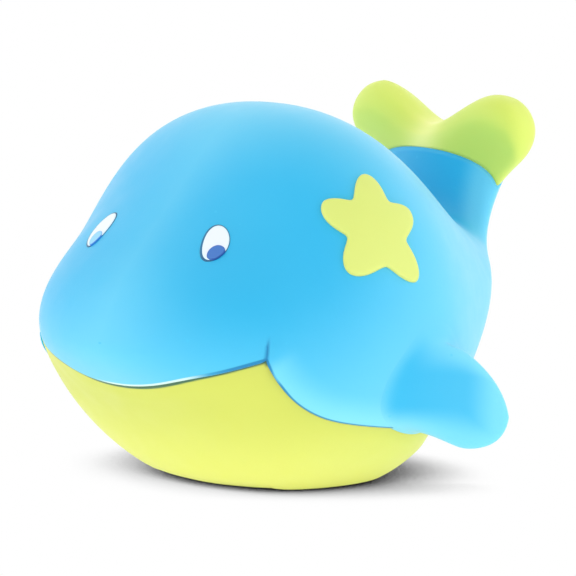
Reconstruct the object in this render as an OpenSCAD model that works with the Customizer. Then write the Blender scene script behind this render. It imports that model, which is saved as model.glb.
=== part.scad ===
// Squeaky bath toy: a hollow soft-vinyl whale with a reed squeaker pressed into its base.
// Sizes are in millimetres. The whale faces -Y, its left flank is +X and it rests on z = 0.
// The skin is a loft: each ring is an ellipse hung between a top rail and a bottom rail.

/* [Body skin] */
// Nose to the rear of the tail end
body_length = 113; // [90:1:140]
// Across the flanks, where the drawn rings are widest
body_width = 100; // [80:0.5:120]
// Floor to the top of the back
body_height = 82; // [70:1:105]
// Soft wall all round
wall = 2.2; // [1.6:0.1:3]
// Flat floor round the squeaker
floor_wall = 3; // [2.4:0.1:5]
// Blend of the flank into the flat floor
base_round = 1.5; // [0.5:0.1:3]
// Gap along the mouth and the flank between the upper skin and the belly skin
seam_gap = 0.3; // [0.15:0.05:0.6]
// Overhang of the upper lip over the belly skin
lip = 0.6; // [0.2:0.1:1]
// Glue line under each piece that is bonded to the skin
glue_line = 0.15; // [0.05:0.05:0.3]

/* [Flippers] */
// Skin to tip, along the flipper
flipper_reach = 16; // [12:0.5:26]
// Height of the flipper at its root
flipper_chord = 23; // [16:0.5:28]
// Thickness of the flipper at its root
flipper_thickness = 9; // [6:0.5:12]
// Angle that the flipper is swept back from straight out
flipper_sweep = 46; // [20:1:60]
// How far the tip hangs below the root
flipper_drop = 6.5; // [0:0.5:10]
// Length of the root along the flank
flipper_root = 18; // [14:0.5:24]
// Swell of the root off the flank
flipper_heel = 0.9; // [0.5:0.1:2]

/* [Flukes] */
// Across both lobes
fluke_span = 51; // [44:1:70]
// Between the tops of the two lobes
fluke_tops = 35; // [26:1:44]
// Front to back
fluke_depth = 17; // [10:0.5:20]
// Height of a lobe's rounded end
fluke_height = 17; // [12:0.5:20]
// Top of a lobe above the notch between them
fluke_rise = 9.4; // [4:0.1:12]
// Notch above the open end of the tail
fluke_notch = 1.9; // [1:0.1:5]
// Length of the plug that holds the flukes in the tail
plug_length = 6; // [4:0.5:10]
// Gap between the plug and the inside of the tail
plug_gap = 0.15; // [0.05:0.05:0.4]

/* [Star and eyes] */
// Height of the star above the skin
star_relief = 0.9; // [0.4:0.1:2]
// Size of the star, as a multiple of its drawn outline
star_scale = 1; // [0.6:0.05:1.3]
// Long axis of the white of the eye
eye_length = 9.1; // [7:0.1:13]
// Short axis of the white of the eye
eye_width = 5.9; // [4:0.1:9]
// Dark edge round the white
eye_edge = 0.35; // [0.2:0.05:1]
// Across the iris
iris_width = 3.9; // [3:0.1:6]
// Thickness of one layer of eye enamel
enamel = 0.2; // [0.1:0.05:0.4]

/* [Squeaker] */
// Hole in the base that the squeaker is pressed into
seat_bore = 16; // [14:0.5:20]
// Tube moulded round that hole, outside diameter
boss_width = 21; // [19:0.5:26]
// Height of that tube above the floor
boss_height = 8; // [5:0.5:12]
// Flange of the squeaker
flange_width = 20; // [18:0.5:24]
// Thickness of the flange
flange_thickness = 1.2; // [0.8:0.1:2]
// How far the flange sits above the surface that the toy rests on
flange_recess = 0.6; // [0.3:0.1:1.2]
// Interference-free fit of the squeaker in its seat, on the diameter
seat_fit = 0.1; // [0.05:0.05:0.4]
// Wall of the squeaker cup
cup_wall = 1.3; // [1:0.1:2]
// Sound hole in the squeaker's cap
sound_hole = 4; // [2:0.5:6]
// Reed tube, outside diameter
tube_width = 7; // [6:0.5:8]
// Reed tube, bore
tube_bore = 3.6; // [2.4:0.2:4.2]
// Length of the reed below its clip
reed_length = 6.5; // [4:0.5:8]
// Width of the reed
reed_width = 4.4; // [3.2:0.2:5]
// Thickness of the reed
reed_thickness = 0.2; // [0.1:0.05:0.4]
// Gap on each side of the reed
reed_gap = 0.3; // [0.15:0.05:0.5]

/* [Hidden] */
$fn = 64;

// The stations below are drawn on a body of this width, length and height.
drawn_size = [100, 113, 82];
// Top rail y and z, bottom rail y and z, half width, height of the widest point as a share of
// the ring, and roundness of the ring's upper half, from the nose to the tail's end
stations = [
    [-56.5, 34, -56.5, 34, 0, 0.5, 1],
    [-54, 43.5, -57, 28.5, 19, 0.49, 1],
    [-42, 56.5, -40.5, 17, 38.5, 0.46, 1.02],
    [-32.5, 66, -30, -3, 42.5, 0.45, 1.03],
    [-18.5, 82.5, 2, -5, 52, 0.46, 0.91],
    [1, 83, 8.5, -2.5, 48, 0.47, 0.93],
    [21.5, 66.5, 21.5, 7, 37.5, 0.48, 1],
    [39, 52, 38, 31.5, 26.5, 0.5, 1],
    [40.5, 57.5, 49, 51, 13, 0.5, 1],
    [40.5, 72, 58.5, 69.5, 19.8, 0.42, 1]
];
grow = [body_width / drawn_size.x, body_length / drawn_size.y, body_height / drawn_size.z];
rails = [for (s = stations)
    [s[0] * grow.y, s[1] * grow.z, s[2] * grow.y, s[3] * grow.z, s[4] * grow.x, s[5], s[6]]];

// The seam runs from the middle of the mouth to its corner, then along the flank to the rear.
// Each entry is a place along the body, from 0 to 1, and an angle up from the flank.
mouth_line = [[0.08, -90], [0.081, -70], [0.085, -46], [0.103, -28], [0.132, -12], [0.154, -5.5]];
flank_line = [
    [0.154, -5.5], [0.168, -13], [0.195, -20.5], [0.25, -22], [0.32, -23.5],
    [0.42, -30], [0.54, -38], [0.68, -50], [0.73, -70], [0.73, -90]
];

// Places on the skin: along the body, and angle up from the flank
flipper_place = [0.45, -16];
star_place = [0.403, 32];
eye_place = [0.183, 61.5];
// Where the tail's open end lies on its sides, and how much further it runs front and back
tail_end = [0.969, 0.0205];

// Five rounded arms of the star: direction and radius of each tip and of the dip after it
star_tips = [[0, 11.8], [53, 14], [107, 12.2], [209, 10.4], [283, 13.7]];
star_dips = [[24, 8.7], [82, 8.2], [157, 5.6], [254, 7.9], [317, 7.6]];
// Direction of each eye's long axis on the skin, and each iris's middle along and across that axis.
// The whale glances to its left, so the two eyes aren't mirrored.
left_tilt = 41;
right_tilt = 33;
left_iris = [-2.75, -0.85];
right_iris = [-2.4, 1.5];

// Counts of rows and columns, all even
nose_rows = 8;
mouth_rows = 10;
flank_rows = 26;
tail_rows = 12;
skin_columns = 40;
belly_columns = 32;
flipper_columns = 24;
star_columns = 60;
eye_columns = 24;

// Helpers

function mix(a, b, k) = a + (b - a) * k;
function ease(k) = let (c = min(1, max(0, k))) c * c * (3 - 2 * c);
function unit(v) = v / norm(v);

// Clamped cubic B-spline over a list of control values
function knot(n, i) = min(1, max(0, (i - 3) / (n - 3)));
function blend_weight(n, i, r, t) = (t - knot(n, i)) / (knot(n, i + 4 - r) - knot(n, i));
function spline_step(d, n, s, t, r) = r > 3 ? d[3] : spline_step(
    [for (j = [0:3]) j < r ? d[j] : mix(d[j - 1], d[j], blend_weight(n, s - 3 + j, r, t))], n, s, t, r + 1);
function spline(c, t) = let (n = len(c), s = 3 + min(n - 4, max(0, floor(t * (n - 3)))))
    spline_step([for (j = [0:3]) c[s - 3 + j]], n, s, t, 1);

// Ring of the loft: a point at an angle f, where 90 is the top, 0 the left flank and -90 the bottom
function ring_point(r, f) = let (
        up = sin(f),
        side = cos(f),
        k = up < 0 ? r[5] * (1 + up) : mix(r[5], 1, pow(up, r[6])),
        reach = up < 0 ? side : sign(side) * pow(abs(side), r[6])
    ) [r[4] * reach, mix(r[2], r[0], k), mix(r[3], r[1], k)];
function along(t, f) = let (e = 0.0005)
    (ring_point(spline(rails, t + e), f) - ring_point(spline(rails, t - e), f)) / (2 * e);
function around(t, f) = let (r = spline(rails, t), e = 0.05)
    (ring_point(r, f + e) - ring_point(r, f - e)) / (2 * e);
function outward(t, f) = unit(cross(along(t, f), around(t, f)));

// Flat floor with a soft edge
function settle(z, level) = let (h = z - level)
    level + (h <= -base_round ? 0 : h >= base_round ? h : pow(h + base_round, 2) / (4 * base_round));

// Point of the skin at a depth below the outer surface
function skin(t, f, depth = 0, level = 0) = let (p = ring_point(spline(rails, t), f) - depth * outward(t, f))
    [p.x, p.y, settle(p.z, level)];
function inner_skin(t, f) = skin(t, f, wall, floor_wall);

// Point at u along the body and v around it from a place on the skin, h above the surface
function on_skin(place, u, v, h) = let (
        a = along(place[0], place[1]),
        b = around(place[0], place[1]),
        slant = b * a / norm(a),
        turn = v / sqrt(b * b - slant * slant)
    ) skin(place[0] + (u - slant * turn) / norm(a), place[1] + turn, -h);

// Triangles of a grid of point numbers; equal neighbours close up
function tri(a, b, c) = a == b || b == c || c == a ? [] : [[a, b, c]];
function sheet(ids) = [for (i = [0:len(ids) - 2], j = [0:len(ids[0]) - 2]) each concat(
    tri(ids[i][j], ids[i][j + 1], ids[i + 1][j + 1]),
    tri(ids[i][j], ids[i + 1][j + 1], ids[i + 1][j]))];
// Strip between an edge and one with half as many points
function lace(fine, coarse) = [for (k = [0:len(coarse) - 2]) each concat(
    tri(fine[2 * k], fine[2 * k + 1], coarse[k]),
    tri(fine[2 * k + 1], coarse[k + 1], coarse[k]),
    tri(fine[2 * k + 1], fine[2 * k + 2], coarse[k + 1]))];
function flip(faces) = [for (f = faces) [f[2], f[1], f[0]]];
function column(ids, j) = [for (row = ids) row[j]];
function flat_list(rows) = [for (row = rows) each row];
// Point numbers of closed rings, with the last column on the first
function closed_ids(rows, columns) =
    [for (i = [0:rows - 1]) [for (j = [0:columns]) i * columns + j % columns]];

// Solid from closed rings of equal length; the first and the last ring may be single points
module ring_solid(rings, turned = false) {
    ids = closed_ids(len(rings), len(rings[0]));
    first = [for (j = ids[0]) ids[0][0]];
    last = [for (j = ids[0]) ids[len(ids) - 1][0]];
    all_ids = concat([first], [for (i = [1:len(ids) - 2]) ids[i]], [last]);
    faces = sheet(all_ids);
    polyhedron(flat_list(rings), turned ? flip(faces) : faces);
}

// Seam

// Each row has its place and angle at the seam, and its place away from the seam.
seam_start = mouth_line[0][0];
seam_corner = flank_line[0][0];
seam_stop = flank_line[len(flank_line) - 1][0];
seam = concat(
    [for (i = [0:mouth_rows]) let (k = i / mouth_rows) concat(
        spline(mouth_line, k), [mix(seam_start, seam_corner, k)])],
    [for (i = [1:flank_rows]) let (k = i / flank_rows) concat(
        spline(flank_line, k), [mix(seam_corner, seam_stop, k)])]);
// Place of a row's point, where k is 0 away from the seam and 1 on it
function row_place(row, k) = mix(row[2], row[0], pow(k, 3));
belly_middle = (seam_start + seam_stop) / 2;
function is_ring(row) = row[1] <= -90;
// The belly is drawn in by the gap, square to the seam's run over the skin, and further at its corner.
function seam_shift(i) = let (
        before = seam[max(0, i - 1)],
        after = seam[min(len(seam) - 1, i + 1)],
        a = norm(along(seam[i][0], seam[i][1])),
        b = norm(around(seam[i][0], seam[i][1])),
        run = unit([(after[0] - before[0]) * a, (after[1] - before[1]) * b]),
        reach = i == mouth_rows ? 2 * seam_gap : seam_gap
    ) reach * [run.y / a, -run.x / b];
belly_start = seam_start + seam_gap / norm(along(seam_start, -90));
belly_stop = seam_stop - seam_gap / norm(along(seam_stop, -90));
belly_seam = [for (i = [0:len(seam) - 1]) let (
        row = seam[i],
        shift = seam_shift(i),
        away = mix(belly_start, belly_stop, (row[2] - seam_start) / (seam_stop - seam_start))
    ) is_ring(row) ? [away, -90, away] : [row[0] + shift[0], row[1] + shift[1], away]];

// Upper skin

// From 0 at either side to 1 at the front and the back, without a kink at the sides
function off_side(f) = (sqrt(pow(sin(f), 2) + 0.004) - 0.063) / 0.939;
function tail_edge(f) = tail_end[0] + tail_end[1] * pow(max(0, off_side(f)), 0.9);
// The last rows lean towards the open end of the tail.
tail_lean = 0.85;
function lean(t, f) = t < tail_lean ? t : mix(tail_lean, tail_edge(f), (t - tail_lean) / (1 - tail_lean));
upper_rows = concat(
    [for (i = [1:nose_rows]) let (t = seam_start * pow(i / (nose_rows + 1), 1.3)) [t, -90, t]],
    seam,
    [for (i = [1:tail_rows]) let (t = mix(seam_stop, 1, i / tail_rows)) [t, -90, t]]);

function upper_angle(row, k) = mix(row[1], 180 - row[1], k);
function upper_point(row, k, inside) = let (
        f = upper_angle(row, k),
        t = lean(row_place(row, abs(2 * k - 1)), f)
    ) inside ? inner_skin(t, f) : skin(t, f);
function upper_ids(rows, columns, first) = [for (i = [0:len(rows) - 1])
    [for (j = [0:columns]) first + i * (columns + 1) + (is_ring(rows[i]) && j == columns ? 0 : j)]];

module upper_shell() {
    n = skin_columns;
    m = skin_columns / 2;
    fine = upper_rows;
    coarse = [for (i = [0:2:len(upper_rows) - 1]) upper_rows[i]];
    outer = [for (r = fine, j = [0:n]) upper_point(r, j / n, false)];
    inner = [for (r = coarse, j = [0:m]) upper_point(r, j / m, true)];
    nose = skin(0.0005, 0);
    outer_ids = upper_ids(fine, n, 0);
    inner_ids = upper_ids(coarse, m, len(outer));
    pole = len(outer) + len(inner);
    outer_nose = [for (j = [0:n]) pole];
    inner_nose = [for (j = [0:m]) pole + 1];
    seam_rows = [for (i = [nose_rows:nose_rows + len(seam) - 1]) outer_ids[i]];
    seam_inner = [for (i = [nose_rows / 2:(nose_rows + len(seam) - 1) / 2]) inner_ids[i]];
    faces = concat(
        sheet(concat([outer_nose], outer_ids)),
        flip(sheet(concat([inner_nose], inner_ids))),
        lace(outer_ids[len(fine) - 1], inner_ids[len(coarse) - 1]),
        lace(column(seam_rows, 0), column(seam_inner, 0)),
        flip(lace(column(seam_rows, n), column(seam_inner, m))));
    color("deepskyblue") polyhedron(concat(outer, inner, [nose, nose + [0, wall, 0]]), faces);
}

// Belly skin with its squeaker seat

squeaker_y = skin(belly_middle, -90).y;
boss_top = floor_wall + boss_height;

function belly_angle(row, k) = mix(-90, row[1], 2 * k - 1);
function belly_place(row, k) = row_place(row, abs(2 * k - 1));
// Inset of the outer surface towards the seam, so that the lip stands proud
function belly_inset(row, k) = lip * max(
    ease((abs(2 * k - 1) - 0.84) / 0.16),
    ease(1 - (belly_place(row, k) - seam_start) / 0.03));
function belly_ids(rows, columns, first) = [for (i = [0:len(rows) - 1])
    [for (j = [0:columns]) first + i * (columns + 1) + (is_ring(rows[i]) ? 0 : j)]];

module belly_skin() {
    n = belly_columns;
    m = belly_columns / 2;
    fine = belly_seam;
    coarse = [for (i = [0:2:len(belly_seam) - 1]) belly_seam[i]];
    outer = [for (r = fine, j = [0:n]) let (k = j / n)
        skin(belly_place(r, k), belly_angle(r, k), belly_inset(r, k))];
    inner = [for (r = coarse, j = [0:m]) let (k = j / m) inner_skin(belly_place(r, k), belly_angle(r, k))];
    outer_ids = belly_ids(fine, n, 0);
    inner_ids = belly_ids(coarse, m, len(outer));
    faces = concat(
        sheet(outer_ids),
        flip(sheet(inner_ids)),
        lace(column(outer_ids, 0), column(inner_ids, 0)),
        flip(lace(column(outer_ids, n), column(inner_ids, m))));
    polyhedron(concat(outer, inner), faces);
}

module at_squeaker() {
    translate([0, squeaker_y, 0]) children();
}

module belly_shell() {
    color("khaki") difference() {
        union() {
            belly_skin();
            at_squeaker() translate([0, 0, floor_wall / 2])
                cylinder(d = boss_width, h = boss_top - floor_wall / 2);
        }
        at_squeaker() translate([0, 0, -1]) cylinder(d = seat_bore, h = boss_top + 2);
        at_squeaker() translate([0, 0, -1])
            cylinder(d = flange_width + 2 * seat_fit, h = 1 + flange_recess + flange_thickness);
    }
}

// Flippers: the root follows the flank and flows out into a rounded paddle

function flipper_half(q) = sqrt(max(0, 1 - pow(q, 2.1)));
function flipper_ring(q) = let (
        out = [cos(flipper_sweep), sin(flipper_sweep), 0],
        face = [sin(flipper_sweep), -cos(flipper_sweep), 0],
        root = skin(flipper_place[0], flipper_place[1]),
        away = outward(flipper_place[0], flipper_place[1]),
        middle = root + out * flipper_reach * q - [0, 0, flipper_drop * q]
    ) [for (j = [0:flipper_columns - 1]) let (
        a = 360 * j / flipper_columns,
        paddle = middle + flipper_half(q) * (
            [0, 0, sin(a) * flipper_chord / 2] + face * cos(a) * mix(1, 0.8, q) * flipper_thickness / 2)
    ) mix(flipper_root_point(a, 1), paddle, ease(q / 0.5)) + flipper_heel * sin(180 * min(1, q / 0.5)) * away];
function flipper_root_point(a, k) = on_skin(flipper_place,
    -cos(a) * k * flipper_root / 2, sin(a) * k * flipper_chord / 2, glue_line);

module left_flipper() {
    root = [for (k = [0, 0.35, 0.7]) [for (j = [0:flipper_columns - 1])
        flipper_root_point(360 * j / flipper_columns, k)]];
    paddle = [for (q = [0, 0.07, 0.14, 0.22, 0.3, 0.4, 0.5, 0.6, 0.7, 0.8, 0.88, 0.94, 0.98, 1]) flipper_ring(q)];
    color("dodgerblue") ring_solid(concat(root, paddle));
}

module right_flipper() {
    mirror([1, 0, 0]) left_flipper();
}

// Flukes: the tail's rim swells into two lobes that close along a notched ridge

tail_rim = [for (f = [90, -90]) skin(1, f)];
tail_middle = (tail_rim[0] + tail_rim[1]) / 2;
fluke_gap = 0.0016;
// Set forward of the middle of the tail's end, and rolled towards the left flank
fluke_set = 2;
fluke_roll = 2;
// Size of the plug's far end, as a share of the tail around it
plug_share = 0.58;

function fluke_ridge(c) = tail_middle.z + fluke_notch + fluke_rise * mix(ease(c), sin(90 * c), 0.5);
function rolled(p) = [
    p.x * cos(fluke_roll) + (p.z - tail_middle.z) * sin(fluke_roll),
    p.y,
    tail_middle.z + (p.z - tail_middle.z) * cos(fluke_roll) - p.x * sin(fluke_roll)];
// Depth round the lobes, which is less between them
function waisted(f) = pow(abs(sin(f)), 0.75) * (1 - 0.28 * pow(sin(f), 6));
// Point of a lobe: f runs round the lobes and a climbs from their underside to the ridge
function fluke_dome(f, a, swell = 1) = let (
        half = fluke_height / 2,
        front = (sin(f) > 0 ? 1 : -1.1) * waisted(f) * pow(max(0, swell * cos(a)), 0.75)
    ) rolled([
    cos(f) * mix(fluke_tops / 2, fluke_span / 2, swell * cos(a)),
    tail_middle.y - fluke_set - front * fluke_depth / 2,
    fluke_ridge(sqrt(pow(cos(f), 2) + 0.015)) + half * (min(1, swell * sin(a)) - 1)]);
// Control points from the tail's rim, round a lobe, to the ridge
function fluke_column(f) = let (
        rim = tail_edge(f) + fluke_gap,
        low = mix(-70, 40, pow(max(0, off_side(f)), 0.7)),
        dome = [for (k = [0.1, 0.35, 0.6, 0.82]) fluke_dome(f, mix(low, 90, k), 1.1)]
    ) concat([skin(rim, f), mix(skin(rim + 0.008, f), dome[0], 0.4)], dome, [fluke_dome(f, 90)]);
function fluke_point(f, k) = spline(fluke_column(f), k);

module tail_flukes() {
    n = skin_columns;
    plug_depth = wall + plug_gap;
    plug_step = plug_length / norm(along(tail_end[0], 0));
    plug = [
        [for (j = [0:n - 1]) let (f = 360 * j / n, t = tail_edge(f) + fluke_gap - plug_step)
            mix((skin(t, 90) + skin(t, -90)) / 2, skin(t, f), plug_share)],
        [for (j = [0:n - 1]) let (f = 360 * j / n) skin(tail_edge(f) + fluke_gap, f, plug_depth)]];
    lobes = [for (k = [0, 0.05, 0.1, 0.16, 0.23, 0.31, 0.4, 0.5, 0.6, 0.7, 0.8, 0.88, 0.94, 0.98, 1])
        [for (j = [0:n - 1]) fluke_point(360 * j / n, k)]];
    foot = (skin(tail_end[0] - plug_step, 90, plug_depth) + skin(tail_end[0] - plug_step, -90, plug_depth)) / 2;
    rings = concat([[for (j = [1:n]) foot]], plug, lobes);
    ids = closed_ids(len(rings), n);
    top = len(rings) - 1;
    // The front and the back of the last ring meet along the ridge.
    ridge = [for (j = [0:n]) ids[top][min(j, n - j)]];
    base = [for (j = [0:n]) ids[0][0]];
    all_ids = concat([base], [for (i = [1:top - 1]) ids[i]], [ridge]);
    color("yellowgreen") polyhedron(flat_list(rings), sheet(all_ids));
}

// Star on the left flank

star_turns = [for (i = [0:5]) each [star_tips[i % 5] + [i > 4 ? 360 : 0, 0], star_dips[i % 5] + [i > 4 ? 360 : 0, 0]]];
function star_radius(a) = let (
        b = a < star_turns[0][0] ? a + 360 : a,
        i = max([for (k = [0:9]) star_turns[k][0] <= b ? k : 0]),
        p = star_turns[i],
        q = star_turns[i + 1]
    ) star_scale * mix(p[1], q[1], ease((b - p[0]) / (q[0] - p[0])));
function star_ring(k, h) = [for (j = [0:star_columns - 1]) let (a = 360 * j / star_columns, r = k * star_radius(a))
    on_skin(star_place, r * cos(a), r * sin(a), h)];

module star_patch() {
    color("khaki") ring_solid([
        star_ring(0, glue_line), star_ring(0.35, glue_line), star_ring(0.7, glue_line), star_ring(1, glue_line),
        star_ring(1, star_relief * 0.55), star_ring(0.95, star_relief * 0.95),
        star_ring(0.85, star_relief), star_ring(0.45, star_relief), star_ring(0, star_relief)], true);
}

// Eyes: three thin layers of enamel, each laid on the last

// Distance from a point inside an oval to its edge, in the direction a
function oval_reach(long, short, from, a) = let (
        c = 2 * cos(a) / long,
        d = 2 * sin(a) / short,
        x = 2 * from[0] / long,
        y = 2 * from[1] / short,
        ahead = x * c + y * d,
        square = c * c + d * d
    ) (sqrt(ahead * ahead + square * (1 - x * x - y * y)) - ahead) / square;
function eye_point(p, q, h, tilt) = on_skin(eye_place,
    p * cos(tilt) - q * sin(tilt), p * sin(tilt) + q * cos(tilt), h);
// Outline of a layer: grown by an edge, or cut to a disc that stays inside the white
function oval(grown) = [for (j = [0:eye_columns - 1])
    oval_reach(eye_length + 2 * grown, eye_width + 2 * grown, [0, 0], 360 * j / eye_columns)];
function disc(width, middle) = [for (j = [0:eye_columns - 1])
    min(width / 2, oval_reach(eye_length - eye_edge, eye_width - eye_edge, middle, 360 * j / eye_columns))];

module eye_layer(outline, middle, layer, tilt) {
    low = glue_line + layer * (enamel + glue_line / 2);
    function ring(k, h) = [for (j = [0:eye_columns - 1]) let (a = 360 * j / eye_columns)
        eye_point(middle[0] + k * outline[j] * cos(a), middle[1] + k * outline[j] * sin(a), low + h, tilt)];
    ring_solid([ring(0, 0), ring(0.55, 0), ring(1, 0), ring(1, enamel), ring(0.55, enamel), ring(0, enamel)], true);
}

module left_eye_edge() {
    color("midnightblue") eye_layer(oval(eye_edge), [0, 0], 0, left_tilt);
}

module left_eye_white() {
    color("white") eye_layer(oval(0), [0, 0], 1, left_tilt);
}

module left_eye_iris() {
    color("royalblue") eye_layer(disc(iris_width, left_iris), left_iris, 2, left_tilt);
}

module right_eye_edge() {
    color("midnightblue") mirror([1, 0, 0]) eye_layer(oval(eye_edge), [0, 0], 0, right_tilt);
}

module right_eye_white() {
    color("white") mirror([1, 0, 0]) eye_layer(oval(0), [0, 0], 1, right_tilt);
}

module right_eye_iris() {
    color("royalblue") mirror([1, 0, 0]) eye_layer(disc(iris_width, right_iris), right_iris, 2, right_tilt);
}

// Squeaker: a flanged cup in the base, with a reed on a tube inside it

flange_top = flange_recess + flange_thickness;
barrel_width = seat_bore - seat_fit;
barrel_bore = barrel_width - 2 * cup_wall;
snap_height = 1;
snap_proud = 0.6;
crown = 1.6;
barrel_top = boss_top + 3;
crown_low = barrel_top - crown;
tube_flat = tube_width * 0.3;
clip_height = 2;
clip_low = crown_low - 0.4 - clip_height;
clip_wall = 1.4;
tube_low = clip_low - reed_length - 0.8;

module squeaker_cup() {
    color("whitesmoke") at_squeaker() rotate_extrude() polygon([
        [barrel_bore / 2, flange_recess], [flange_width / 2, flange_recess], [flange_width / 2, flange_top],
        [barrel_width / 2, flange_top], [barrel_width / 2, boss_top + seat_fit],
        [barrel_width / 2 + snap_proud, boss_top + seat_fit], [barrel_width / 2, boss_top + seat_fit + snap_height],
        [barrel_width / 2, barrel_top], [(tube_width + seat_fit) / 2, barrel_top],
        [(tube_width + seat_fit) / 2, crown_low], [barrel_bore / 2, crown_low]]);
}

module squeaker_cap() {
    color("gainsboro") at_squeaker() translate([0, 0, flange_recess]) difference() {
        cylinder(d = barrel_bore - seat_fit, h = flange_thickness);
        translate([0, 0, -1]) cylinder(d = sound_hole, h = flange_thickness + 2);
    }
}

// The reed lies over a slot in the flat side of the tube.
module reed_tube() {
    slot = reed_width * 0.5;
    color("silver") at_squeaker() difference() {
        union() {
            translate([0, 0, tube_low]) cylinder(d = tube_width, h = barrel_top - tube_low);
            translate([0, 0, barrel_top]) cylinder(d = tube_width + 2 * clip_wall, h = 1);
        }
        translate([0, 0, tube_low + 1]) cylinder(d = tube_bore, h = barrel_top);
        translate([-tube_width, tube_flat, tube_low - 1])
            cube([2 * tube_width, tube_width, crown_low - 0.2 - tube_low + 1]);
        translate([-slot / 2, 0, tube_low + 1.4]) cube([slot, tube_width, clip_low - tube_low - 2.4]);
    }
}

module reed_clip() {
    color("gray") at_squeaker() translate([0, 0, clip_low]) difference() {
        cylinder(d = tube_width + 2 * clip_wall, h = clip_height);
        intersection() {
            translate([0, 0, -1]) cylinder(d = tube_width + seat_fit, h = clip_height + 2);
            translate([-tube_width, -tube_width, -1])
                cube([2 * tube_width, tube_width + tube_flat + reed_thickness + 2 * reed_gap, clip_height + 2]);
        }
    }
}

module reed() {
    color("gold") at_squeaker() translate([-reed_width / 2, tube_flat + reed_gap, clip_low - reed_length])
        cube([reed_width, reed_thickness, reed_length + clip_height]);
}

upper_shell();
belly_shell();
left_flipper();
right_flipper();
tail_flukes();
star_patch();
left_eye_edge();
left_eye_white();
left_eye_iris();
right_eye_edge();
right_eye_white();
right_eye_iris();
squeaker_cup();
squeaker_cap();
reed_tube();
reed_clip();
reed();
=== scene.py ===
"""A soft vinyl bath whale on a white studio floor.

Shapes are worked out in millimetres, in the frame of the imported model: the whale faces -Y, its left
flank is +X and it rests on z = 0. They become metres when a mesh is made.
"""
import math

import bmesh
import bpy
import numpy as np
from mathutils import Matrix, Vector
from mathutils.kdtree import KDTree


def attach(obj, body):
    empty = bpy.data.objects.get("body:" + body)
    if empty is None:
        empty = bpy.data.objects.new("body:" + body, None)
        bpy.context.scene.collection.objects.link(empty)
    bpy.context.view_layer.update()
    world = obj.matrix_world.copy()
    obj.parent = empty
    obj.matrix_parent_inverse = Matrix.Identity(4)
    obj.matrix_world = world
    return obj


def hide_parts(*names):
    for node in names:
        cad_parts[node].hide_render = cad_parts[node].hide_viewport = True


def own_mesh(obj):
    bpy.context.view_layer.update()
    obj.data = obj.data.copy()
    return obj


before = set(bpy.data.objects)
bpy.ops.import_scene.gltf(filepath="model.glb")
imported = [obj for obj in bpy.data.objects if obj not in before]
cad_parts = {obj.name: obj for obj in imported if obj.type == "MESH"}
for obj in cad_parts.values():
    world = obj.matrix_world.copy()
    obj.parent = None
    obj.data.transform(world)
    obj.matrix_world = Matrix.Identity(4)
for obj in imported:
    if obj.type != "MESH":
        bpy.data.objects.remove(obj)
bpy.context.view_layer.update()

MM = 0.001

# Rails that the rings of the skin hang between, from the nose to the tail's end: top rail y and z,
# bottom rail y and z, half width, height of the widest point as a share of the ring, and roundness
# of the ring's upper half
RAILS = np.array([
    (-56.5, 34, -56.5, 34, 0, 0.5, 1),
    (-54, 43.5, -57, 28.5, 19, 0.49, 1),
    (-42, 56.5, -40.5, 17, 38.5, 0.46, 1.02),
    (-32.5, 66, -30, -3, 42.5, 0.45, 1.03),
    (-18.5, 82.5, 2, -5, 52, 0.46, 0.91),
    (1, 83, 8.5, -2.5, 48, 0.47, 0.93),
    (21.5, 66.5, 21.5, 7, 37.5, 0.48, 1),
    (39, 52, 38, 31.5, 26.5, 0.5, 1),
    (40.5, 57.5, 49, 51, 13, 0.5, 1),
    (40.5, 72, 58.5, 69.5, 20.6, 0.42, 1),
])
WALL = 2.2
FLOOR_WALL = 3
BASE_ROUND = 1.5

# Seam between the blue skin and the belly: place along the body, and angle up from the flank
MOUTH_LINE = [(0.079, -90), (0.0795, -70), (0.082, -46), (0.1, -27.5), (0.1305, -11.5), (0.154, -5.3)]
FLANK_LINE = [
    (0.154, -5.3), (0.168, -12.5), (0.195, -20), (0.25, -21.4), (0.32, -22.9),
    (0.42, -29.6), (0.54, -38), (0.68, -50), (0.73, -70), (0.73, -90),
]
SEAM_START = MOUTH_LINE[0][0]
SEAM_CORNER = FLANK_LINE[0][0]
SEAM_STOP = FLANK_LINE[-1][0]
BELLY_MIDDLE = 0.405
LIP = 0.5
LIP_SLOPE = 5

# Crease that runs up from the corner of the mouth, and the cheek that swells behind it, less on the right
CREASE_LINE = [(0.154, -8), (0.155, -2), (0.1565, 4), (0.163, 11)]
CREASE_DEPTH = 0.55
CREASE_WIDTH = 0.34
CHEEK_SWELL = 0.5
RIGHT_SWELL = 0.4
CHEEK_WIDTH = 2.4
# Degrees over which the crease fades at its top and at its foot, and that the cheek reaches below it
CREASE_FADES = (9, 3)
CHEEK_REACH = 30

# Flippers
FLIPPER_PLACE = (0.45, -16)
FLIPPER_REACH = 16
FLIPPER_CHORD = 23
FLIPPER_THICKNESS = 9
FLIPPER_SWEEP = 46
FLIPPER_DROP = 6.5
FLIPPER_ROOT = 18

# Tail and flukes
TAIL_END = (0.969, 0.0205)
TAIL_LEAN = 0.85
FLUKE_SPAN = 52
FLUKE_TOPS = 35
FLUKE_DEPTH = 17
FLUKE_HEIGHT = 17
FLUKE_RISE = 9.4
FLUKE_NOTCH = 1.9
FLUKE_SKEW = 0.05
FLUKE_SET = 2
FLUKE_ROLL = 2
PLUG_LENGTH = 6
PLUG_SHARE = 0.58

# Star: direction and radius of each tip and of the dip after it
STAR_PLACE = (0.403, 32)
STAR_RELIEF = 0.9
STAR_TIPS = [(0, 11.8), (53, 14), (107, 12.2), (209, 10.4), (283, 13.7)]
STAR_DIPS = [(24, 8.7), (82, 8.2), (157, 5.6), (254, 7.9), (317, 7.6)]

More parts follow.
